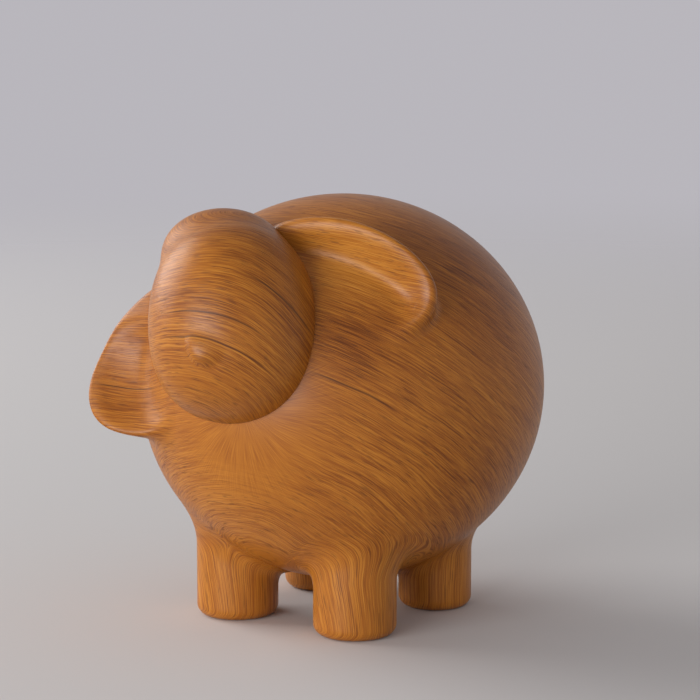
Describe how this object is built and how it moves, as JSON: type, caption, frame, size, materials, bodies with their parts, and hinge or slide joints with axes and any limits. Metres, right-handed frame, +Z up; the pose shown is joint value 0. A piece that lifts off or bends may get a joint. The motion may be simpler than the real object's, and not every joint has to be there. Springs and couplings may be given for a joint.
{
  "type": "sheep figurine",
  "caption": "Round wooden sheep ornament on short legs, with an egg-shaped head tipped to one side and dished ears, for standing on a shelf or table.",
  "frame": {"origin": "middle of the figurine's box, on the table that it stands on", "axes": "+Z up, the sheep faces -Y and its left side is +X"},
  "size_m": [0.127, 0.1536, 0.1337],
  "materials": {
    "carved_wood": "golden-brown close-grained hardwood, sanded smooth, satin oil",
    "dowel_wood": "plain beech, unfinished"
  },
  "bodies": {
    "root": {"body": "carved_wood", "head": "carved_wood", "left_ear": "carved_wood", "right_ear": "carved_wood", "front_left_leg": "carved_wood", "front_right_leg": "carved_wood", "rear_left_leg": "carved_wood", "rear_right_leg": "carved_wood", "neck_dowel": "dowel_wood", "front_left_leg_dowel": "dowel_wood", "front_right_leg_dowel": "dowel_wood", "rear_left_leg_dowel": "dowel_wood", "rear_right_leg_dowel": "dowel_wood"}
  },
  "joints": []
}
